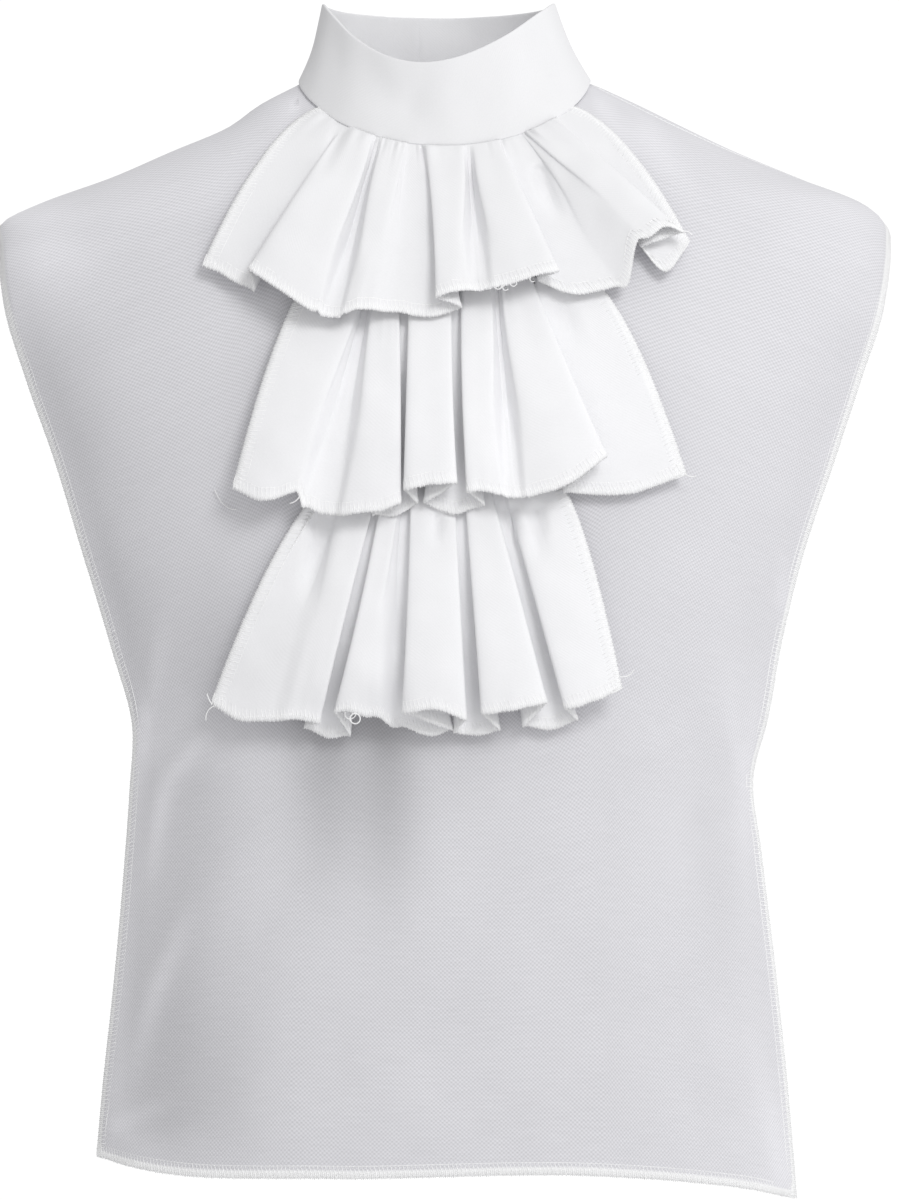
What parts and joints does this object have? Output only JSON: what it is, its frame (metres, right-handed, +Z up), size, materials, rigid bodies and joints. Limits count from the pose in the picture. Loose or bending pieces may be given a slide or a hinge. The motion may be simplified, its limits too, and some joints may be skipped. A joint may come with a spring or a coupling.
{
  "type": "jabot shirt front",
  "caption": "Costume dickey worn under a coat: a thin cloth front with a stand collar, a short open back and gathered ruffles down the centre front",
  "frame": {"origin": "in the middle of the neck opening, level with the side neck points, where the garment hangs on its wearer", "axes": "+Z up, -Y to the front, +X to the right as seen from in front"},
  "size_m": [0.4717, 0.2275, 0.6287],
  "materials": {
    "panel_cloth": "thin plain-woven cloth, slightly see-through",
    "white_cloth": "matt bright white fine twill"
  },
  "bodies": {
    "root": {"front_panel": "panel_cloth", "back_yoke_left": "panel_cloth", "back_yoke_right": "panel_cloth", "collar": "white_cloth", "ruffle_top": "white_cloth", "ruffle_middle": "white_cloth", "ruffle_bottom": "white_cloth"}
  },
  "joints": []
}
